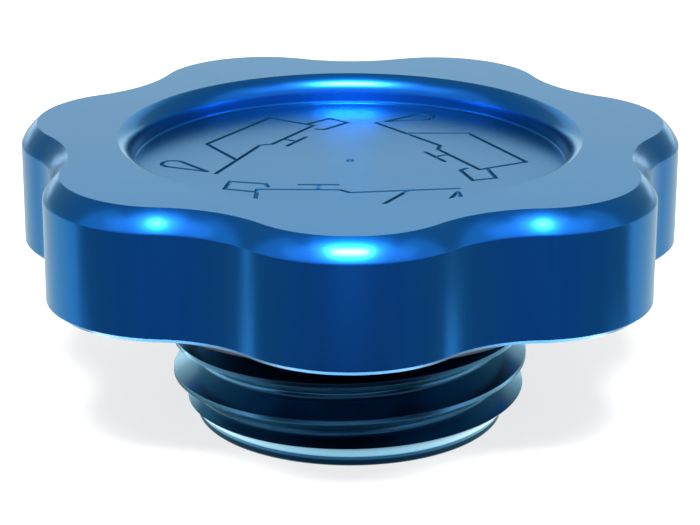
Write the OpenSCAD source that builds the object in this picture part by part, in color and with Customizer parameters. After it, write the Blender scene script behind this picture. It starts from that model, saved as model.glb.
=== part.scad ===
// Oil filler cap: a lobed hand-grip head, a coarse screw stem and a sealing ring.
// The origin is the middle of the stem's end face, +Z points up through the head,
// and one lobe of the head points towards -Y. All lengths are in millimetres.

/* [Head] */
// Diameter of the circle that touches all lobes
head_d = 62; // [56:0.5:70]
// Height of the head, from the face that carries the ring to the top face
head_h = 11.6; // [9:0.1:16]
// Number of lobes round the head
lobe_count = 7; // [6:1:8]
// Radius of each lobe's round outer end
lobe_r = 11.35; // [9.5:0.05:12.5]
// How far the bottom of a valley lies inside the lobe circle
valley_depth = 3.6; // [2.6:0.1:4.5]
// Width of the sloping band between the top face and the side wall
band_w = 1.5; // [0.5:0.1:3]
// Height of that sloping band
band_h = 1.9; // [0.5:0.1:4]
// Size of the chamfer along the head's lower edge
lower_chamfer = 0.45; // [0.1:0.05:1.5]

/* [Recess in the top face] */
// Diameter of the recess's wall
recess_d = 39.7; // [38:0.1:44]
// Depth of the recess's floor under the top face
recess_depth = 2.6; // [2.3:0.1:5]
// Radius of the rounding at the recess's mouth
mouth_r = 2; // [0.5:0.1:2.2]
// Angle at which that rounding meets the top face
mouth_angle = 20; // [0:1:40]
// Radius of the fillet between the recess's wall and floor
floor_fillet = 0.2; // [0.1:0.1:0.6]
// Diameter of the small turning mark in the middle of the floor
centre_mark_d = 0.8; // [0.4:0.1:3]

/* [Engraved signs] */
// Distance from the middle to the outermost point of the signs
sign_reach = 17; // [12:0.5:18]
// Number of oil can signs round the middle
sign_count = 3; // [1:1:3]
// Width of the engraved lines
line_w = 0.4; // [0.2:0.05:0.6]
// Depth of the engraved lines
line_depth = 0.35; // [0.1:0.05:0.6]

/* [Stem] */
// Outer diameter of the screw thread
thread_d = 33; // [30:0.5:34]
// Pitch of the screw thread
thread_pitch = 3.5; // [2:0.5:4]
// Height of the stem's threaded part, with its lead chamfer
thread_h = 9; // [6:0.5:12]
// Height of the plain end below the thread
plain_end_h = 0.9; // [0.5:0.1:3]
// How much slimmer the plain end is than the thread's core, on the radius
plain_end_gap = 0.05; // [0.02:0.01:0.5]
// Edge break round the end face
end_break = 0.15; // [0.05:0.05:0.5]
// Height of the plain groove where the thread runs out
relief_h = 1.6; // [0.8:0.1:4]
// Depth of that groove below the thread's core
relief_depth = 0.25; // [0.1:0.05:1]
// Diameter of the collar that centres the sealing ring
collar_d = 35.2; // [34.6:0.2:38]
// Height of the collar
collar_h = 3.7; // [2:0.1:6]
// Chamfer round the collar's lower edge
collar_chamfer = 0.4; // [0.1:0.05:0.8]

/* [Sealing ring] */
// Thickness of the round ring
ring_section = 3.5; // [2.5:0.1:4.5]
// Gap between the ring and the metal that it sits on
ring_gap = 0.02; // [0.01:0.01:0.1]

/* [Hidden] */
$fn = 96;
cut = 1;

// Levels along the axis
thread_z = plain_end_h;
relief_z = thread_z + thread_h;
collar_z = relief_z + relief_h;
head_z = collar_z + collar_h;
top_z = head_z + head_h;

// Head outline: the lobe arcs and the valley arcs touch each other
lobe_step = 360 / lobe_count;
half_step = lobe_step / 2;
lobe_turn = -90;
lobe_centre = head_d / 2 - lobe_r;
valley_bottom = head_d / 2 - valley_depth;
valley_reach = lobe_centre * cos(half_step);
valley_r = (lobe_r^2 - lobe_centre^2 - valley_bottom^2 + 2 * valley_bottom * valley_reach)
    / (2 * (valley_bottom - valley_reach - lobe_r));
valley_centre = valley_bottom + valley_r;
// The two kinds of arc cross by this much instead of only touching
arc_overlap = 0.01;
// The sloping edges start this far inside the side wall
edge_step = 0.02;

// Recess, as a profile from the axis outwards
wall_r = recess_d / 2;
floor_z = top_z - recess_depth;
mouth_z = top_z - mouth_r * cos(mouth_angle);
arc_steps = 6;

// Thread: 60 degree flanks, flats of an eighth of the pitch on the crests
flank_slope = tan(30);
thread_r = thread_d / 2;
crest_flat = thread_pitch / 8;
thread_depth = 0.6134 * thread_pitch;
core_r = thread_r - thread_depth;
flank_w = thread_depth * flank_slope;
flank_steps = 4;
steps_per_turn = 48;
plain_end_r = (core_r - plain_end_gap) * cos(180 / steps_per_turn);
relief_r = core_r - relief_depth;
// The plain bars reach up to this level inside the thread
bar_join_z = thread_z + thread_h / 4;
// Height of the crest's middle where it crosses the -Y side
crest_z = 5.1;
front_angle = -90;

// Oil can sign, drawn at a reach of 17 with its foot towards -Y
drawn_reach = 17;
can_spout = [[-8.2, -8.8], [-0.9, -8.9], [0, -9.7], [9.6, -8.4]];
can_belly = [[-8.2, -8.8], [-8.3, -13.8], [2.2, -14.2], [5.1, -9.1]];
can_handle = [[-7.3, -8], [-7.5, -7.2], [-10.7, -6.5], [-11.1, -8.7], [-8.5, -9.5]];
can_knob = [[-4.5, -7.4], [-1.1, -7.4]];
can_neck = [[-2.8, -7.4], [-2.8, -8.5]];
drop_tip = [9.5, -9.4];
drop_middle = [9.1, -13.4];
drop_r = 1;
drop_open = 15;
drop_steps = 10;

function on_circle(r, a) = [r * cos(a), r * sin(a)];

// Points along an arc round the middle [x, y]
function arc(x, y, r, from, to) =
    [for (i = [0:arc_steps]) [x, y] + on_circle(r, from + (to - from) * i / arc_steps)];

function drop_outline() = concat(
    [drop_tip],
    [for (i = [0:drop_steps])
        drop_middle + on_circle(drop_r, drop_open - (180 + 2 * drop_open) * i / drop_steps)],
    [drop_tip]);

// Star through the middles of the lobe arcs and of the valley arcs
module star() {
    polygon([for (i = [0:lobe_count - 1], half = [0, 1])
        on_circle(half == 0 ? lobe_centre : valley_centre,
            lobe_turn + lobe_step * i + half_step * half)]);
}

// Copies what it is given round the axis, from an angle on, at a distance from the middle
module ring_of_copies(from, distance) {
    for (i = [0:lobe_count - 1])
        rotate(from + lobe_step * i) translate([distance, 0, 0]) children();
}

// Lobes joined by valleys
module lobed_outline() {
    difference() {
        star();
        ring_of_copies(lobe_turn + half_step, valley_centre) circle(r = valley_r + arc_overlap);
    }
    ring_of_copies(lobe_turn, lobe_centre) circle(r = lobe_r);
}

// A slice of the head whose edge slopes evenly from one inset to the other
module sloping_slice(z, h, inset_low, inset_high) {
    slope = (inset_high - inset_low) / h;
    low_r = valley_r + arc_overlap + inset_low;
    high_r = valley_r + arc_overlap + inset_high;
    translate([0, 0, z]) {
        difference() {
            linear_extrude(h) star();
            ring_of_copies(lobe_turn + half_step, valley_centre) translate([0, 0, -cut])
                cylinder(h = h + 2 * cut, r1 = low_r - slope * cut, r2 = high_r + slope * cut);
        }
        ring_of_copies(lobe_turn, lobe_centre)
            cylinder(h = h, r1 = lobe_r - inset_low, r2 = lobe_r - inset_high);
    }
}

module head_blank() {
    sloping_slice(head_z, lower_chamfer, lower_chamfer, edge_step);
    translate([0, 0, head_z + lower_chamfer])
        linear_extrude(head_h - lower_chamfer - band_h) lobed_outline();
    sloping_slice(top_z - band_h, band_h, edge_step, band_w);
}

module recess_space() {
    rotate_extrude() polygon(concat(
        [[0, floor_z]],
        arc(wall_r - floor_fillet, floor_z + floor_fillet, floor_fillet, -90, 0),
        arc(wall_r + mouth_r, mouth_z, mouth_r, 180, 90 + mouth_angle),
        [[wall_r + mouth_r * (1 - sin(mouth_angle)), top_z + cut], [0, top_z + cut]]));
}

module line_along(points) {
    for (i = [0:len(points) - 2]) {
        step = points[i + 1] - points[i];
        translate(points[i]) rotate(atan2(step[1], step[0]))
            translate([-line_w / 2, -line_w / 2]) square([norm(step) + line_w, line_w]);
    }
}

module can_sign() {
    line_along(can_spout);
    line_along(can_belly);
    line_along(can_handle);
    line_along(can_knob);
    line_along(can_neck);
    line_along(drop_outline());
}

module signs() {
    translate([0, 0, floor_z - line_depth]) linear_extrude(line_depth + cut)
        for (i = [0:sign_count - 1])
            rotate(360 / sign_count * i) scale(sign_reach / drawn_reach) can_sign();
    translate([0, 0, floor_z - line_depth]) cylinder(h = line_depth + cut, d = centre_mark_d);
}

// Radius of the threaded bar at height z and at a turn counted from the -Y side
function bar_r(z, turn) =
    let (along = (z - crest_z - thread_pitch * turn) / thread_pitch,
        from_crest = abs(along - round(along)) * thread_pitch,
        down_flank = min(max(from_crest - crest_flat / 2, 0), flank_w))
    min(thread_r - down_flank / flank_slope, core_r + z - thread_z);

// The right-hand thread with its core and its 45 degree lead, as one grid of points.
// Its rows follow the thread's edges up the helix and stop at both end faces.
module threaded_bar() {
    offsets = concat(
        [for (k = [0:flank_steps]) crest_flat / 2 + flank_w * k / flank_steps],
        [for (k = [0:flank_steps]) thread_pitch - crest_flat / 2 - flank_w * (1 - k / flank_steps)]);
    per_turn = len(offsets);
    first_turn = floor((thread_z - crest_z - crest_flat / 2) / thread_pitch) - 1;
    last_turn = ceil((relief_z - crest_z) / thread_pitch);
    rows = (last_turn - first_turn + 1) * per_turn;
    points = [for (i = [0:steps_per_turn - 1], j = [0:rows - 1])
        let (turn = i / steps_per_turn,
            free_z = crest_z + offsets[j % per_turn]
                + thread_pitch * (turn + first_turn + floor(j / per_turn)),
            z = min(max(free_z, thread_z), relief_z))
        concat(on_circle(bar_r(z, turn), front_angle + 360 * turn), [z])];
    // Past the last column the grid joins the first one, a whole turn of rows higher
    function at(i, j) = i < steps_per_turn ? i * rows + j : min(j + per_turn, rows - 1);
    sides = [for (i = [0:steps_per_turn - 1], j = [0:rows - 2])
        [at(i, j), at(i, j + 1), at(i + 1, j + 1), at(i + 1, j)]];
    foot = [for (i = [0:steps_per_turn - 1]) i * rows];
    head = [for (i = [steps_per_turn - 1:-1:0]) i * rows + rows - 1];
    polyhedron(points = points, faces = concat(sides, [foot, head]));
}

module stem() {
    threaded_bar();
    rotate_extrude() polygon([
        [0, 0],
        [plain_end_r - end_break, 0],
        [plain_end_r, end_break],
        [plain_end_r, bar_join_z],
        [relief_r, bar_join_z],
        [relief_r, collar_z],
        [collar_d / 2 - collar_chamfer, collar_z],
        [collar_d / 2, collar_z + collar_chamfer],
        [collar_d / 2, head_z + cut],
        [0, head_z + cut]]);
}

module cap_body() {
    color("royalblue") {
        difference() {
            head_blank();
            recess_space();
            signs();
        }
        stem();
    }
}

module sealing_ring() {
    color("black")
        translate([0, 0, head_z - ring_gap - ring_section / 2])
            rotate_extrude() translate([collar_d / 2 + ring_gap + ring_section / 2, 0])
                circle(d = ring_section);
}

cap_body();
sealing_ring();
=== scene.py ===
# Oil filler cap: a lobed head and a screw stem of blue anodised aluminium, with a rubber sealing ring.
# Shapes are worked out in millimetres and stored in metres. The stem's end face lies at z = 0, and one
# lobe of the head points towards -Y.
import math

import bmesh
import bpy
import numpy as np
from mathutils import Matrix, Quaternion, Vector


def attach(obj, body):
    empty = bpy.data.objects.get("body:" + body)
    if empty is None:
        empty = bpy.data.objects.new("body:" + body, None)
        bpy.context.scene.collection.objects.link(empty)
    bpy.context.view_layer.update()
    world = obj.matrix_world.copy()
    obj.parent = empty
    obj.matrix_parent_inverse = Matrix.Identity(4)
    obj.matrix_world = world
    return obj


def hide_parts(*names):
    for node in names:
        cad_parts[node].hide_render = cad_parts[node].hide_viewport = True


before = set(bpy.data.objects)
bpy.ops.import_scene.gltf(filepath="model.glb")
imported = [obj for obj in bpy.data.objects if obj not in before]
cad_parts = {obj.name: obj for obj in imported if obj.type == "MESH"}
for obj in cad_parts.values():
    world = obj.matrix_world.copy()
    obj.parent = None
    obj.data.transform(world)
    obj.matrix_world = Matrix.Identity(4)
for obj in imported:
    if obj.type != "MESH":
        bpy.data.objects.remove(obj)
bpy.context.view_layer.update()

# Cap body. One piece of aluminium: the head and the stem are turned from bar, the lobes are milled,
# the screw thread is cut with a single point and the oil can signs are engraved with a ball-nosed cutter.
# The whole piece is anodised blue.
MM = 0.001
LOBES = 7
STEP = 2 * math.pi / LOBES
LOBE_R = 11.35
LOBE_MIDDLE = 19.65
VALLEY_BOTTOM = 27.4
LOBE_COLUMNS = 40
VALLEY_COLUMNS = 32
FRONT = -math.pi / 2


def lobed_edge():
    """Middle, signed radius and outward normal of every column round the head's edge.

    A lobe is an arc round a middle inside the head, a valley one round a middle outside it, and the two
    touch on the line between their middles. A point of the edge is middle + (radius - inset) * normal,
    with a negative radius in the valleys, so any inset gives a parallel curve."""
    half = STEP / 2
    across = LOBE_MIDDLE * math.cos(half)
    valley_r = (LOBE_R**2 - LOBE_MIDDLE**2 - VALLEY_BOTTOM**2 + 2 * VALLEY_BOTTOM * across) / (
        2 * (VALLEY_BOTTOM - across - LOBE_R)
    )
    valley_middle = VALLEY_BOTTOM + valley_r
    meet = math.atan2(valley_middle * math.sin(half), valley_middle * math.cos(half) - LOBE_MIDDLE)
    normal = np.concatenate(
        [
            np.linspace(-meet, meet, LOBE_COLUMNS, endpoint=False),
            np.linspace(meet, STEP - meet, VALLEY_COLUMNS, endpoint=False),
        ]
    )
    on_lobe = np.arange(len(normal)) < LOBE_COLUMNS
    middle_angle = np.where(on_lobe, 0, half)
    turn = FRONT + STEP * np.arange(LOBES)[:, None]
    normal = (turn + normal).ravel()
    middle_angle = (turn + middle_angle).ravel()
    reach = np.tile(np.where(on_lobe, LOBE_MIDDLE, valley_middle), LOBES)
    radius = np.tile(np.where(on_lobe, LOBE_R, -valley_r), LOBES)
    middle = reach[:, None] * np.column_stack([np.cos(middle_angle), np.sin(middle_angle)])
    return middle, radius[:, None], np.column_stack([np.cos(normal), np.sin(normal)])


edge_middle, edge_radius, edge_normal = lobed_edge()
edge = edge_middle + edge_radius * edge_normal
COLUMNS = len(edge)
round_way = edge / np.linalg.norm(edge, axis=1)[:, None]
column_turn = (np.unwrap(np.arctan2(edge[:, 1], edge[:, 0])) - FRONT) / (2 * math.pi)


def at_heights(flat, z):
    """The rows of flat points with each row raised to its height."""
    return np.concatenate([flat, np.broadcast_to(z[:, None, None], flat.shape[:2] + (1,))], 2)


def lobed_rows(profile):
    """Rows of points round the head, one for each (inset, height) of the profile."""
    inset, z = np.array(profile, float).T
    return at_heights(edge_middle + (edge_radius - inset[:, None, None]) * edge_normal, z)


def round_rows(profile):
    """Rows of points round the axis, one for each (radius, height) of the profile."""
    r, z = np.array(profile, float).T
    return at_heights(r[:, None, None] * round_way, z)


def rounded(points, radii, steps=3, support=0.04):
    """The polyline with each inner corner made an arc of its radius, between two support points.

    The arc starts radius * tan(turn / 2) before the corner. A radius of 0 keeps the corner."""
    points = [np.array(p, float) for p in points]
    out = [points[0]]
    for before, corner, after, radius in zip(points, points[1:], points[2:], radii):
        if radius == 0:
            out.append(corner)
            continue
        come = (corner - before) / np.linalg.norm(corner - before)
        leave = (after - corner) / np.linalg.norm(after - corner)
        turn = math.acos(come @ leave)
        back = radius * math.tan(turn / 2)
        side = (leave - come * (come @ leave)) / math.sin(turn)
        middle = corner - come * back + side * radius
        angles = np.linspace(0, turn, steps + 1)[:, None]
        out.append(corner - come * (back + support))
        out.extend(middle - side * radius * np.cos(angles) + come * radius * np.sin(angles))
        out.append(corner + leave * (back + support))
    out.append(points[-1])
    return np.array(out)


def bulging(start, end, bulge, steps):
    """Points on the arc from start to end that turns by the angle bulge on its way, to its left."""
    start, end = np.array(start, float), np.array(end, float)
    chord = end - start
    length = np.linalg.norm(chord)
    along = chord / length
    out_way = np.array([along[1], -along[0]])
    reach = length / (2 * math.sin(bulge / 2))
    middle = (start + end) / 2 - out_way * reach * math.cos(bulge / 2)
    angles = np.linspace(-bulge / 2, bulge / 2, steps + 1)[:, None]
    return middle + reach * (out_way * np.cos(angles) + along * np.sin(angles))


# Head: underside, chamfer, side wall and convex band up to the flat top
HEAD_Z = 15.2
TOP_Z = 26.8
CHAMFER = 0.45
BAND_W = 1.5
BAND_H = 1.9
BAND_BULGE = math.radians(30)
BAND_STEPS = 10
BAND_CORNER = 0.4
CRISP_CORNER = 0.06
FLAT_START = 0.5


def head_profile():
    """The edge's section as (inset, height): chamfer, side wall, arc of the band, start of the top face."""
    band = bulging((0, TOP_Z - BAND_H), (-BAND_W, TOP_Z), BAND_BULGE, BAND_STEPS)
    low = rounded(
        [(-CHAMFER - FLAT_START, HEAD_Z), (-CHAMFER, HEAD_Z), (0, HEAD_Z + CHAMFER), band[0], band[1]],
        [CRISP_CORNER, CRISP_CORNER, BAND_CORNER],
    )
    high = rounded([band[-2], band[-1], (-BAND_W - FLAT_START, TOP_Z)], [CRISP_CORNER])
    outwards = np.vstack([low[:-1], band[1:-1], high[1:]])
    return outwards * [-1, 1]


# Recess: rounded mouth, short steep wall, tight fillet and flat floor with a turning mark in its middle
WALL_R = 19.85
FLOOR_Z = 24.2
MOUTH_R = 2
MOUTH_ANGLE = math.radians(20)
MOUTH_STEPS = 14
FLOOR_FILLET = 0.2
MARK_R = 0.4
MARK_DEPTH = 0.2
MARK_CORNER = 0.1


def recess_profile():
    """The recess's section as (radius, height), from the top face down to the middle of the floor."""
    angles = np.linspace(math.pi / 2 + MOUTH_ANGLE, math.pi, MOUTH_STEPS)
    mouth_z = TOP_Z - MOUTH_R * math.cos(MOUTH_ANGLE)
    middle_r = WALL_R + MOUTH_R
    mouth = np.column_stack([middle_r + MOUTH_R * np.cos(angles), mouth_z + MOUTH_R * np.sin(angles)])
    lip = rounded([(mouth[0, 0] + FLAT_START, TOP_Z), mouth[0], mouth[1]], [CRISP_CORNER])
    foot = rounded(
        [
            mouth[-1],
            (WALL_R, FLOOR_Z),
            (MARK_R, FLOOR_Z),
            (MARK_R / 2, FLOOR_Z - MARK_DEPTH),
            (0, FLOOR_Z - MARK_DEPTH),
        ],
        [FLOOR_FILLET, CRISP_CORNER, MARK_CORNER],
    )
    return np.vstack([lip[:-1], mouth[1:], foot[1:]])


# Stem: plain end, thread with a 45 degree lead, relief groove and the collar that centres the ring
THREAD_R = 16.5
PITCH = 3.5
DEPTH_TO_PITCH = 0.6134
THREAD_DEPTH = DEPTH_TO_PITCH * PITCH
CORE_R = THREAD_R - THREAD_DEPTH
CREST_FLAT = PITCH / 8
FLANK_SLOPE = math.tan(math.radians(30))
CREST_CORNER = 0.05
ROOT_CORNER = 0.3
CREST_Z = 5.1
PLAIN_R = 14.27
END_BREAK = 0.15
END_CORNER = 0.03
THREAD_Z = 0.9
RELIEF_Z = 9.9
RELIEF_DEPTH = 0.25
RELIEF_R = CORE_R - RELIEF_DEPTH
RELIEF_CORNER = 0.3
COLLAR_Z = 11.5
COLLAR_R = 17.6
COLLAR_CHAMFER = 0.4
COLLAR_FILLET = 0.1


def thread_section():
    """One pitch of the thread as (height above the crest's middle, depth below the crest)."""
    flank = THREAD_DEPTH * FLANK_SLOPE
    half = CREST_FLAT / 2
    return rounded(
        [
            (0, 0),
            (half, 0),
            (half + flank, THREAD_DEPTH),
            (PITCH - half - flank, THREAD_DEPTH),
            (PITCH - half, 0),
            (PITCH, 0),
        ],
        [CREST_CORNER, ROOT_CORNER, ROOT_CORNER, CREST_CORNER],
    )


def thread_rows():
    """Rows that follow the right-hand thread up the helix, from its lead chamfer to the relief groove.

    At a turn t a row lies at crest height + pitch * t + its place in the section, and its radius is that
    of the section, or of the 45 degree cone of the lead where that is less. The rows below a crest stop
    where the cone comes out of the lower flank, and those above it start where it enters the upper flank.
    The second value is the number of rows in one pitch."""
    section = thread_section()[1:-1]
    first_turn = math.floor((THREAD_Z - CREST_Z) / PITCH) - 1
    last_turn = math.ceil((RELIEF_Z - CREST_Z) / PITCH)
    turns = np.arange(first_turn, last_turn + 1)
    place = (turns[:, None] * PITCH + section[:, 0]).ravel()
    past_root = np.tile(section[:, 0], len(turns)) > PITCH / 2
    crest = np.repeat(turns * PITCH, len(section)) + PITCH * past_root
    lift = CREST_Z + PITCH * column_turn
    free_z = place[:, None] + lift
    crest_z = crest[:, None] + lift
    steep = 1 / FLANK_SLOPE
    cone_base = CORE_R - THREAD_Z
    enters = (THREAD_R - cone_base + steep * (crest_z + CREST_FLAT / 2)) / (1 + steep)
    enters = np.minimum(enters, THREAD_Z + THREAD_DEPTH)
    leaves = (cone_base - THREAD_R + steep * (crest_z - CREST_FLAT / 2)) / (steep - 1)
    z = np.where(place[:, None] > crest[:, None], np.maximum(free_z, enters), np.minimum(free_z, leaves))
    z = np.clip(z, THREAD_Z, RELIEF_Z)
    depth = np.interp(np.mod(z - lift, PITCH), *thread_section().T)
    r = np.minimum(THREAD_R - depth, cone_base + z)
    return np.concatenate([r[:, :, None] * round_way, z[:, :, None]], 2), len(section)


def stem_end_profile():
    """Section of the plain end, from the middle of the end face up to the thread."""
    return rounded(
        [(0, 0), (PLAIN_R - END_BREAK, 0), (PLAIN_R, END_BREAK), (PLAIN_R, THREAD_Z), (CORE_R, THREAD_Z)],
        [END_CORNER, END_CORNER, 0],
    )


def collar_profile():
    """Section from the thread's end through the relief groove and the collar to the head's underside."""
    return rounded(
        [
            (RELIEF_R, RELIEF_Z),
            (RELIEF_R, COLLAR_Z),
            (COLLAR_R - COLLAR_CHAMFER, COLLAR_Z),
            (COLLAR_R, COLLAR_Z + COLLAR_CHAMFER),
            (COLLAR_R, HEAD_Z),
            (COLLAR_R + FLAT_START, HEAD_Z),
        ],
        [RELIEF_CORNER, CRISP_CORNER, CRISP_CORNER, COLLAR_FILLET],
    )


def wrapped_faces(partner):
    """Quads between neighbouring rows of a grid that closes on itself.

    In the last column, row j joins row partner[j] of the first one, which is higher up on a helix."""
    row, column = np.meshgrid(np.arange(len(partner) - 1), np.arange(COLUMNS), indexing="ij")
    last = column == COLUMNS - 1
    next_column = np.where(last, 0, column + 1)
    next_low = np.where(last, partner[row], row)
    next_high = np.where(last, partner[row + 1], row + 1)
    rows = np.stack([row, next_low, next_high, row + 1], -1)
    columns = np.stack([column, next_column, next_column, column], -1)
    return (rows * COLUMNS + columns).reshape(-1, 4)


MERGE = 2e-4
SHARP = math.radians(28)


def mesh_object(name, points, faces):
    """A piece from points in millimetres and faces, with points that fall together made one."""
    mesh = bpy.data.meshes.new(name)
    mesh.from_pydata(np.asarray(points).reshape(-1, 3) * MM, [], faces.tolist())
    shape = bmesh.new()
    shape.from_mesh(mesh)
    bmesh.ops.remove_doubles(shape, verts=shape.verts, dist=MERGE * MM)
    bmesh.ops.recalc_face_normals(shape, faces=shape.faces)
    shape.to_mesh(mesh)
    shape.free()
    piece = bpy.data.objects.new(name, mesh)
    bpy.context.scene.collection.objects.link(piece)
    return piece


def cap_object():
    """The body's whole surface as one stack of rows: end face, thread, collar, head, recess."""
    below = round_rows(stem_end_profile())
    thread, shift = thread_rows()
    collar = round_rows(collar_profile())
    head = lobed_rows(head_profile())
    above = np.concatenate([collar, head, round_rows(recess_profile())])
    partner = np.arange(len(below) + len(thread) + len(above))
    on_thread = slice(len(below), len(below) + len(thread))
    partner[on_thread] = np.minimum(partner[on_thread] + shift, on_thread.stop - 1)
    return mesh_object("blue_cap", np.concatenate([below, thread, above]), wrapped_faces(partner))


cap = cap_object()

# Engraved signs: an oil can with its drop, drawn with its foot towards -Y and repeated round the middle
LINE_R = 0.2
LINE_DEPTH = 0.35
ABOVE = 0.3
SIGNS = 3
STEP_OF_SIGNS = 2 * math.pi / SIGNS
GROOVE_STEPS = 6
BALL_STEPS = 4
SPOUT = [(-8.2, -8.8), (-0.9, -8.9), (0, -9.7), (9.6, -8.4)]
BELLY = [(-8.2, -8.8), (-8.3, -13.8), (2.2, -14.2), (5.1, -9.1)]
HANDLE = [(-7.3, -8), (-7.5, -7.2), (-10.7, -6.5), (-11.1, -8.7), (-8.5, -9.5)]
KNOB = [(-4.5, -7.4), (-1.1, -7.4)]
NECK = [(-2.8, -7.4), (-2.8, -8.5)]
DROP_TIP = (9.5, -9.4)
DROP_MIDDLE = (9.1, -13.4)
DROP_R = 1
DROP_OPEN = math.radians(15)
DROP_STEPS = 5


def half_drop(side):
    """The drop's outline from its tip round to the bottom, on the side +1 or -1."""
    angles = np.linspace(DROP_OPEN, -math.pi / 2, DROP_STEPS + 1)
    bow = DROP_R * np.column_stack([side * np.cos(angles), np.sin(angles)])
    return np.vstack([DROP_TIP, DROP_MIDDLE + bow])


def groove_bar(line, turn):
    """Points and faces of a bar along a line, round below and upright at its sides, with ball ends.

    Across each place of the line the bar's section runs from above the floor down one side, round the
    bottom and up the other side. Its corners are mitred."""
    c, s = math.cos(turn), math.sin(turn)
    line = np.array(line, float) @ np.array([[c, s], [-s, c]])
    way = np.diff(line, axis=0)
    way /= np.linalg.norm(way, axis=1)[:, None]
    side = np.column_stack([-way[:, 1], way[:, 0]])
    mitre = (side[1:] + side[:-1]) / (1 + np.sum(side[1:] * side[:-1], axis=1))[:, None]
    ball = np.linspace(math.pi / 2, 0, BALL_STEPS + 1)[:, None]
    start = line[0] - way[0] * LINE_R * np.sin(ball)
    end = line[-1] + way[-1] * LINE_R * np.sin(ball[::-1])
    middles = np.vstack([start, line[1:-1], end])
    sides = np.vstack([side[0] * np.cos(ball), mitre, side[-1] * np.cos(ball[::-1])])
    fullness = np.concatenate([np.cos(ball), np.ones((len(mitre), 1)), np.cos(ball[::-1])])
    under = np.linspace(0, -math.pi, GROOVE_STEPS + 1)
    across = np.concatenate([[1], np.cos(under), [-1]])
    bottom = FLOOR_Z - LINE_DEPTH + LINE_R * (1 + fullness * np.sin(under))
    brim = np.full((len(middles), 1), FLOOR_Z + ABOVE)
    z = np.hstack([brim, bottom, brim])
    flat = middles[:, None] + LINE_R * sides[:, None] * across[:, None]
    around = len(across)
    ring, place = np.meshgrid(np.arange(len(middles) - 1) * around, np.arange(around), indexing="ij")
    ahead = (place + 1) % around
    faces = np.stack([ring + place, ring + ahead, ring + around + ahead, ring + around + place], -1)
    return np.concatenate([flat, z[:, :, None]], 2).reshape(-1, 3), faces.reshape(-1, 4)


def engrave(piece, lines):
    """Cuts the lines, once for each sign, into the piece. The lines of one call must not meet."""
    bars = [groove_bar(line, STEP_OF_SIGNS * i) for line in lines for i in range(SIGNS)]
    starts = np.cumsum([0] + [len(points) for points, _ in bars])
    faces = np.concatenate([faces + start for (_, faces), start in zip(bars, starts)])
    cutter = mesh_object("cutter", np.concatenate([points for points, _ in bars]), faces)
    groove = piece.modifiers.new("groove", "BOOLEAN")
    groove.operation = "DIFFERENCE"
    groove.solver = "MANIFOLD"
    groove.object = cutter
    cut = piece.evaluated_get(bpy.context.evaluated_depsgraph_get())
    piece.data = bpy.data.meshes.new_from_object(cut)
    piece.data.materials.clear()
    piece.modifiers.clear()
    bpy.data.objects.remove(cutter)


engrave(cap, [SPOUT, HANDLE, KNOB, half_drop(1)])
engrave(cap, [BELLY, NECK, half_drop(-1)])
cap.data.shade_smooth()
cap.data.set_sharp_from_angle(angle=SHARP)

# Nodes: short ways to put a finish together, used by every material of the file


def feed(tree, node, inputs):
    """Puts a value or another node's output on each named input of the node."""
    for name, value in inputs.items():
        if isinstance(value, bpy.types.NodeSocket):
            tree.links.new(value, node.inputs[name])
        else:
            node.inputs[name].default_value = value


def add(tree, kind, inputs=(), **settings):
    """A new node of the tree with its settings and its inputs."""
    made = tree.nodes.new(kind)
    for name, value in settings.items():
        setattr(made, name, value)
    feed(tree, made, dict(inputs))
    return made


def reckon(tree, operation, *values):
    """The output of a node that does one step of arithmetic on numbers or outputs."""
    return add(tree, "ShaderNodeMath", dict(enumerate(values)), operation=operation).outputs["Value"]


def mixed_colour(tree, share, first, second):
    """The output of a node that goes from the first colour to the second as the share goes from 0 to 1."""
    inputs = {"Factor": share, "A": first, "B": second}
    return add(tree, "ShaderNodeMix", inputs, data_type="RGBA").outputs["Result"]


def noise_along(tree, place, scale, detail):
    """The output of a noise that changes along one number only."""
    inputs = {"W": place, "Scale": scale, "Detail": detail}
    return add(tree, "ShaderNodeTexNoise", inputs, noise_dimensions="1D").outputs["Fac"]


GRAIN_DETAIL = 3


def grain_group():
    """A node group with the fine grain of a surface, from 0 to 1, at a number of grains to the metre."""
    tree = bpy.data.node_groups.new("fine_grain", "ShaderNodeTree")
    tree.interface.new_socket("Grains", in_out="INPUT", socket_type="NodeSocketFloat")
    tree.interface.new_socket("Grain", in_out="OUTPUT", socket_type="NodeSocketFloat")
    given = tree.nodes.new("NodeGroupInput").outputs
    place = tree.nodes.new("ShaderNodeTexCoord").outputs
    inputs = {"Vector": place["Object"], "Scale": given["Grains"], "Detail": GRAIN_DETAIL}
    noise = add(tree, "ShaderNodeTexNoise", inputs)
    feed(tree, tree.nodes.new("NodeGroupOutput"), {"Grain": noise.outputs["Fac"]})
    return tree


fine_grain = grain_group()

# Finish of the cap: colours, tool marks and gloss. The stem's blue is darker and greener than the head's:
# painted shade for the shadow under the head. The stem is also much paler at a slant, which is a painted
# sheen.
BLUE = (0.0005, 0.092, 0.47, 1)
PALE_BLUE = (0.001, 0.2, 0.36, 1)
# painted shade: the stem's blue is a darker copy of the head's, for the shadow under the head
STEM_PAINTED_SHADE_BLUE = (0.0005, 0.035, 0.09, 1)
# painted sheen: the stem's pale blue at a slant
STEM_PAINTED_SHEEN_BLUE = (0.16, 0.5, 0.68, 1)
STEM_SHEEN_POWER = 2
GRAZING_TINT = (0.82, 0.9, 0.92, 1)
METAL_ROUGHNESS = 0.24
COAT = 0.08
COAT_ROUGHNESS = 0.2
COAT_IOR = 1.9
BRUSHED = 0.35
QUARTER_TURN = 0.25
METAL_GRAINS = 9000
GRAIN_MARKS = 0.04
RINGS_PER_METRE = 5000
RING_DETAIL = 1
STREAKS = 40
STREAK_DETAIL = 2
TOOL_MARKS = 0.07
TOOL_MARK_HEIGHT = 2e-7
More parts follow.
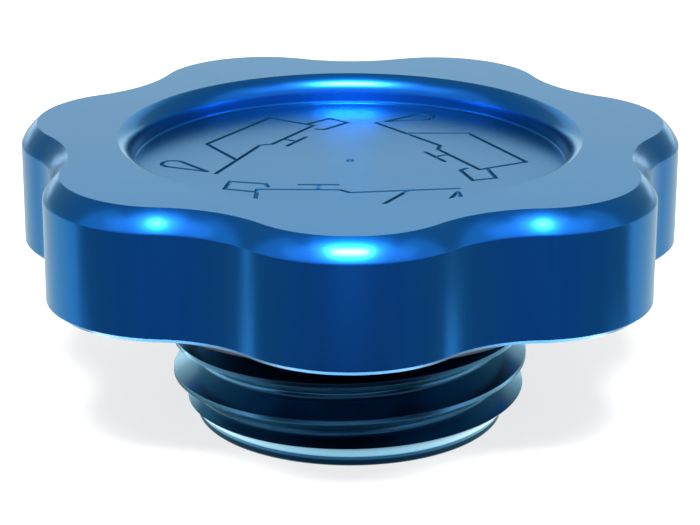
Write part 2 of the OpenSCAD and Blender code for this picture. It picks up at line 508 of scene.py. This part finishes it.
# painted shade: a darker blue in the engraving's grooves and in the turning mark
GROOVE_PAINTED_SHADE_BLUE = (0.001, 0.05, 0.13, 1)
GROOVE_METAL = 0.75
GROOVE_DULLNESS = 0.4
BELOW_FLOOR = 0.02


def tool_marks(tree, place, xyz, radius):
    """Marks left by the tools, from 0 to 1: rings on level faces and upright streaks on walls."""
    rings = noise_along(tree, radius, RINGS_PER_METRE, RING_DETAIL)
    angle = reckon(tree, "ARCTAN2", xyz["Y"], xyz["X"])
    streaks = noise_along(tree, angle, STREAKS, STREAK_DETAIL)
    facing = add(tree, "ShaderNodeSeparateXYZ", {"Vector": place["Normal"]}).outputs
    level = reckon(tree, "ABSOLUTE", facing["Z"])
    return add(tree, "ShaderNodeMix", {"Factor": level, "A": streaks, "B": rings}).outputs["Result"]


def groove_mask(tree, radius, height):
    """1 in the engraving, 0 elsewhere: what lies in the head, inside the recess and below its floor."""
    inside = reckon(tree, "LESS_THAN", radius, (WALL_R - FLOOR_FILLET) * MM)
    below = reckon(tree, "LESS_THAN", height, (FLOOR_Z - BELOW_FLOOR) * MM)
    in_head = reckon(tree, "GREATER_THAN", height, (HEAD_Z + CHAMFER) * MM)
    return reckon(tree, "MULTIPLY", inside, reckon(tree, "MULTIPLY", below, in_head))


def anodised_colour(tree, height, in_groove):
    """The colour of the stem, blended over the collar to that of the head, and that of the engraving.

    The stem's darker blue is painted shade for the shadow under the head, and the engraving's darker blue
    is painted shade in its grooves. Stem and head are paler at a slant; on the stem this is a strong
    painted sheen."""
    slant = tree.nodes.new("ShaderNodeLayerWeight").outputs["Facing"]
    head = mixed_colour(tree, slant, BLUE, PALE_BLUE)
    # on the stem, a painted sheen at a slant over painted shade
    stem_sheen_share = reckon(tree, "POWER", slant, STEM_SHEEN_POWER)
    stem = mixed_colour(tree, stem_sheen_share, STEM_PAINTED_SHADE_BLUE, STEM_PAINTED_SHEEN_BLUE)
    collar = {"Value": height, "From Min": COLLAR_Z * MM, "From Max": HEAD_Z * MM}
    above_stem = add(tree, "ShaderNodeMapRange", collar).outputs["Result"]
    outside = mixed_colour(tree, above_stem, stem, head)
    # painted shade: the darker blue in the engraving
    return mixed_colour(tree, in_groove, outside, GROOVE_PAINTED_SHADE_BLUE)


def anodised_metal():
    """Satin anodised aluminium with marks of its tools under a thin clear coat, and a dull engraving in a
    darker blue, which is painted shade in its grooves.
    """
    material = bpy.data.materials.new("blue_anodised_aluminium")
    material.use_nodes = True
    tree = material.node_tree
    place = tree.nodes.new("ShaderNodeTexCoord").outputs
    xyz = add(tree, "ShaderNodeSeparateXYZ", {"Vector": place["Object"]}).outputs
    flat = add(tree, "ShaderNodeVectorMath", {0: place["Object"], 1: (1, 1, 0)}, operation="MULTIPLY")
    length = add(tree, "ShaderNodeVectorMath", {0: flat.outputs["Vector"]}, operation="LENGTH")
    radius = length.outputs["Value"]
    marks = tool_marks(tree, place, xyz, radius)
    in_groove = groove_mask(tree, radius, xyz["Z"])
    grain = add(tree, "ShaderNodeGroup", {"Grains": METAL_GRAINS}, node_tree=fine_grain)
    smoothest = METAL_ROUGHNESS - (TOOL_MARKS + GRAIN_MARKS) / 2
    rough = reckon(tree, "MULTIPLY_ADD", marks, TOOL_MARKS, smoothest)
    rough = reckon(tree, "MULTIPLY_ADD", grain.outputs["Grain"], GRAIN_MARKS, rough)
    rough = reckon(tree, "MULTIPLY_ADD", in_groove, GROOVE_DULLNESS, rough)
    bump = add(tree, "ShaderNodeBump", {"Height": marks, "Distance": TOOL_MARK_HEIGHT})
    around = add(
        tree, "ShaderNodeVectorMath", {0: (0, 0, 1), 1: place["Object"]}, operation="CROSS_PRODUCT"
    )
    feed(
        tree,
        tree.nodes["Principled BSDF"],
        {
            "Base Color": anodised_colour(tree, xyz["Z"], in_groove),
            "Metallic": reckon(tree, "MULTIPLY_ADD", in_groove, GROOVE_METAL - 1, 1),
            "Roughness": rough,
            "Normal": bump.outputs["Normal"],
            "Tangent": around.outputs["Vector"],
            "Anisotropic": BRUSHED,
            "Anisotropic Rotation": QUARTER_TURN,
            "Specular Tint": GRAZING_TINT,
            "Coat Weight": reckon(tree, "MULTIPLY_ADD", in_groove, -COAT, COAT),
            "Coat Roughness": COAT_ROUGHNESS,
            "Coat IOR": COAT_IOR,
        },
    )
    return material


cap.data.materials.append(anodised_metal())
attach(cap, "root")
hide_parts("cap_body")

# Sealing ring. A round rubber ring that sits on the collar, just under the head. The mould has left a
# fine flash line round its outer side.
RING_R = 1.75
RING_GAP = 0.02
RING_POINTS = 64
FLASH_HEIGHT = 0.06
FLASH_WIDTH = 0.12


def ring_profile():
    """The ring's round section as (radius, height), with the flash as a low ridge on its outer side."""
    angles = np.linspace(-math.pi, math.pi, RING_POINTS + 1)
    flash = FLASH_HEIGHT * np.exp(-((angles * RING_R / FLASH_WIDTH) ** 2))
    r = COLLAR_R + RING_GAP + RING_R + (RING_R + flash) * np.cos(angles)
    z = HEAD_Z - RING_GAP - RING_R + RING_R * np.sin(angles)
    return np.column_stack([r, z])


RUBBER = (0.02, 0.02, 0.022, 1)
RUBBER_SMOOTHEST = 0.4
RUBBER_ROUGHEST = 0.6
RUBBER_GRAINS = 4000
RUBBER_BUMP = 2e-5


def moulded_rubber():
    """Black rubber with a dull sheen and the fine grain of its mould."""
    material = bpy.data.materials.new("black_rubber")
    material.use_nodes = True
    tree = material.node_tree
    grain = add(tree, "ShaderNodeGroup", {"Grains": RUBBER_GRAINS}, node_tree=fine_grain).outputs["Grain"]
    inputs = {"Value": grain, "To Min": RUBBER_SMOOTHEST, "To Max": RUBBER_ROUGHEST}
    rough = add(tree, "ShaderNodeMapRange", inputs).outputs["Result"]
    bump = add(tree, "ShaderNodeBump", {"Height": grain, "Distance": RUBBER_BUMP}).outputs["Normal"]
    feed(tree, tree.nodes["Principled BSDF"], {"Base Color": RUBBER, "Roughness": rough, "Normal": bump})
    return material


ring_rows = round_rows(ring_profile())
ring = mesh_object("rubber_ring", ring_rows, wrapped_faces(np.arange(len(ring_rows))))
ring.data.shade_smooth()
ring.data.materials.append(moulded_rubber())
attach(ring, "root")
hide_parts("sealing_ring")

# Stage. A white paper floor with a soft shadow in a white studio, and cards that only reflections see, as
# a photographer sets them up to darken and to brighten the sides of shiny metal. Its sizes are in metres,
# apart from the heights of what lies just above or below z = 0, which are in millimetres.
FLOOR_HALF = 3
FLOOR_GAP = 0.02
PAPER = (0.25, 0.25, 0.25, 1)
PAPER_GLOW = 0.75
PAPER_GLOW_IN_METAL = 0.26
WHITE = (1, 1, 1, 1)


def level_plane(name, low, high, z):
    """A level rectangle of the stage between two corners (x, y), at a height z in metres."""
    corners = [(low[0], low[1], z), (high[0], low[1], z), (high[0], high[1], z), (low[0], high[1], z)]
    mesh = bpy.data.meshes.new(name)
    mesh.from_pydata(corners, [], [(0, 1, 2, 3)])
    plane = bpy.data.objects.new(name, mesh)
    bpy.context.scene.collection.objects.link(plane)
    return plane


def white_paper():
    """Paper that glows a little for the camera and for reflections, so that it is white round the shadow.

    It is clear from below, so that the stem's end can be looked at."""
    material = bpy.data.materials.new("white_paper")
    material.use_nodes = True
    tree = material.node_tree
    shader = tree.nodes["Principled BSDF"]
    path = tree.nodes.new("ShaderNodeLightPath").outputs
    for_camera = reckon(tree, "MULTIPLY", path["Is Camera Ray"], PAPER_GLOW)
    feed(
        tree,
        shader,
        {
            "Base Color": PAPER,
            "Roughness": 1,
            "Specular IOR Level": 0,
            "Emission Color": WHITE,
            "Emission Strength": reckon(
                tree, "MULTIPLY_ADD", path["Is Glossy Ray"], PAPER_GLOW_IN_METAL, for_camera
            ),
        },
    )
    side = tree.nodes.new("ShaderNodeNewGeometry").outputs["Backfacing"]
    clear = tree.nodes.new("ShaderNodeBsdfTransparent").outputs["BSDF"]
    both = add(tree, "ShaderNodeMixShader", {"Fac": side, 1: shader.outputs["BSDF"], 2: clear})
    feed(tree, tree.nodes["Material Output"], {"Surface": both.outputs["Shader"]})
    return material


paper = level_plane("floor", (-FLOOR_HALF, -FLOOR_HALF), (FLOOR_HALF, FLOOR_HALF), -FLOOR_GAP * MM)
paper.data.materials.append(white_paper())


def make_card(card, shade):
    """Makes a stage object a card: gives it an even shade and shows it to glossy rays only."""
    material = bpy.data.materials.new(card.name)
    material.use_nodes = True
    tree = material.node_tree
    glow = add(tree, "ShaderNodeEmission", {"Color": WHITE, "Strength": shade})
    feed(tree, tree.nodes["Material Output"], {"Surface": glow.outputs["Emission"]})
    card.data.materials.append(material)
    card.visible_camera = False
    card.visible_diffuse = False
    card.visible_shadow = False
    card.visible_transmission = False
    card.visible_volume_scatter = False


def low_card(name, low, high, z, shade):
    """A level card between two corners, at a height z in millimetres."""
    make_card(level_plane(name, low, high, z * MM), shade)


def ring_card(name, rows, shade):
    """A card between two rows of points round the axis, in millimetres."""
    card = mesh_object(name, rows, wrapped_faces(np.arange(2)))
    make_card(card, shade)
    return card


def upright_card(name, half_width, height, turn, foot, shade):
    """An upright card whose lower edge has its middle at foot, turned about the vertical."""
    card = level_plane(name, (-half_width, 0), (half_width, height), 0)
    card.rotation_euler = (math.pi / 2, 0, turn)
    card.location = foot
    make_card(card, shade)


# Just above the floor: grey in front and at both sides, with a paler strip far in front and a dark one
# close to the stem. A bright ring shines on the lead, and another one on the head's lower edge: they are
# given in millimetres, as (radius, height) and as (inset, height).
GREY_Z = 0.2
STRIP_Z = 0.4
LIGHT_Z = 0.6
GREY = 0.33
PALE_GREY = 0.5
DARK = 0.02
LEAD_BRIGHT = 2
EDGE_BRIGHT = 5.5
CARD_REACH = 0.35
CARD_FRONT = -0.5
GREY_END = -0.027
STRIP_HALF = 0.02
FAR_END = -0.088
SIDE_START = 0.06
RIGHT_END = -0.01
LEFT_END = -0.021
DARK_FRONT = -0.06
DARK_END = -0.0155
LEAD_LIGHT = [(12, LIGHT_Z), (15, LIGHT_Z)]
EDGE_LIGHT = [(-1.2, LIGHT_Z), (1.2, LIGHT_Z)]
EDGE_SHIFT = 0.0058
low_card("front_card", (-CARD_REACH, CARD_FRONT), (CARD_REACH, GREY_END), GREY_Z, GREY)
low_card("far_card", (-STRIP_HALF, CARD_FRONT), (STRIP_HALF, FAR_END), STRIP_Z, PALE_GREY)
low_card("right_card", (SIDE_START, GREY_END), (CARD_REACH, RIGHT_END), GREY_Z, GREY)
low_card("left_card", (-CARD_REACH, GREY_END), (-SIDE_START, LEFT_END), GREY_Z, PALE_GREY)
low_card("dark_card", (-STRIP_HALF, DARK_FRONT), (STRIP_HALF, DARK_END), STRIP_Z, DARK)
ring_card("lead_light", round_rows(LEAD_LIGHT), LEAD_BRIGHT)
edge_light = ring_card("edge_light", lobed_rows(EDGE_LIGHT), EDGE_BRIGHT)
edge_light.location.y = EDGE_SHIFT

# Round the cap: a grey ceiling and grey sides, and a bright backdrop low down behind it with a light above
CEILING_Z = 0.95
CEILING_FRONT = -0.46
CEILING_BACK = 1.2
CEILING_GREY = 0.42
SIDE_X = 0.6
SIDE_Y = 0.45
SIDE_FOOT = 0.06
SIDE_HALF = 0.5
SIDE_GREY = 0.45
BACKDROP_Y = 0.6
BACKDROP_HALF = 0.5
BACKDROP_H = 0.12
BACKDROP_BRIGHT = 1.8
HIGH_Y = 0.61
HIGH_FOOT = 0.255
HIGH_HALF = 0.2
HIGH_H = 0.26
HIGH_BRIGHT = 1.35
SIDE_H = CEILING_Z - SIDE_FOOT
make_card(level_plane("ceiling", (-SIDE_X, CEILING_FRONT), (SIDE_X, CEILING_BACK), CEILING_Z), CEILING_GREY)
upright_card("backdrop_light", BACKDROP_HALF, BACKDROP_H, 0, (0, BACKDROP_Y, 0), BACKDROP_BRIGHT)
upright_card("high_light", HIGH_HALF, HIGH_H, 0, (0, HIGH_Y, HIGH_FOOT), HIGH_BRIGHT)
upright_card("left_side", SIDE_HALF, SIDE_H, math.pi / 2, (-SIDE_X, SIDE_Y, SIDE_FOOT), SIDE_GREY)
upright_card("right_side", SIDE_HALF, SIDE_H, math.pi / 2, (SIDE_X, SIDE_Y, SIDE_FOOT), SIDE_GREY)

# Light: a white studio all round, and four soft lamps in front of the cap and above it
STUDIO_FILL = 0.4


def white_studio():
    """A world that is white for the camera and for reflections, and dimmer where it lights the cap."""
    studio = bpy.data.worlds.new("studio")
    studio.use_nodes = True
    tree = studio.node_tree
    path = tree.nodes.new("ShaderNodeLightPath").outputs
    seen = reckon(tree, "MAXIMUM", path["Is Camera Ray"], path["Is Glossy Ray"])
    strength = add(tree, "ShaderNodeMapRange", {"Value": seen, "To Min": STUDIO_FILL, "To Max": 1})
    feed(tree, tree.nodes["Background"], {"Color": WHITE, "Strength": strength.outputs["Result"]})
    return studio


bpy.context.scene.world = white_studio()


def softbox(name, elevation, distance, width, height, radiance):
    """A rectangular lamp in front of the cap, aimed at its top from an elevation in degrees.

    Its power is radiance * pi * area."""
    data = bpy.data.lights.new(name, "AREA")
    data.shape = "RECTANGLE"
    data.size = width
    data.size_y = height
    data.energy = radiance * math.pi * width * height
    lamp = bpy.data.objects.new(name, data)
    rise = math.radians(elevation)
    way = Vector((0, -math.cos(rise), math.sin(rise)))
    lamp.location = way * distance + Vector((0, 0, TOP_Z * MM))
    lamp.rotation_euler = way.to_track_quat("Z", "Y").to_euler()
    bpy.context.scene.collection.objects.link(lamp)


softbox("key", elevation=53, distance=0.7, width=0.66, height=0.56, radiance=1.1)
softbox("key_middle", elevation=53, distance=0.695, width=0.34, height=0.34, radiance=2.6)
softbox("key_core", elevation=51, distance=0.69, width=0.28, height=0.13, radiance=150)
softbox("front_bank", elevation=50, distance=0.9, width=2, height=0.5, radiance=0.75)

# Camera, at the place where the photo was taken, with its slight roll
LENS = 131.76
SENSOR = 36
CLIP_START = 0.01
CAMERA_PLACE = Vector((0.000011, -0.224605, 0.092484))
CAMERA_TARGET = Vector((0.000011, 0, 0.014316))
ROLL = math.radians(0.14)
camera_data = bpy.data.cameras.new("camera")
camera_data.lens = LENS
camera_data.sensor_width = SENSOR
camera_data.clip_start = CLIP_START
camera = bpy.data.objects.new("camera", camera_data)
camera.location = CAMERA_PLACE
camera.rotation_mode = "QUATERNION"
aim = (CAMERA_TARGET - CAMERA_PLACE).to_track_quat("-Z", "Y")
camera.rotation_quaternion = aim @ Quaternion((0, 0, 1), ROLL)
bpy.context.scene.collection.objects.link(camera)
bpy.context.scene.camera = camera
bpy.context.scene.view_settings.view_transform = "Standard"
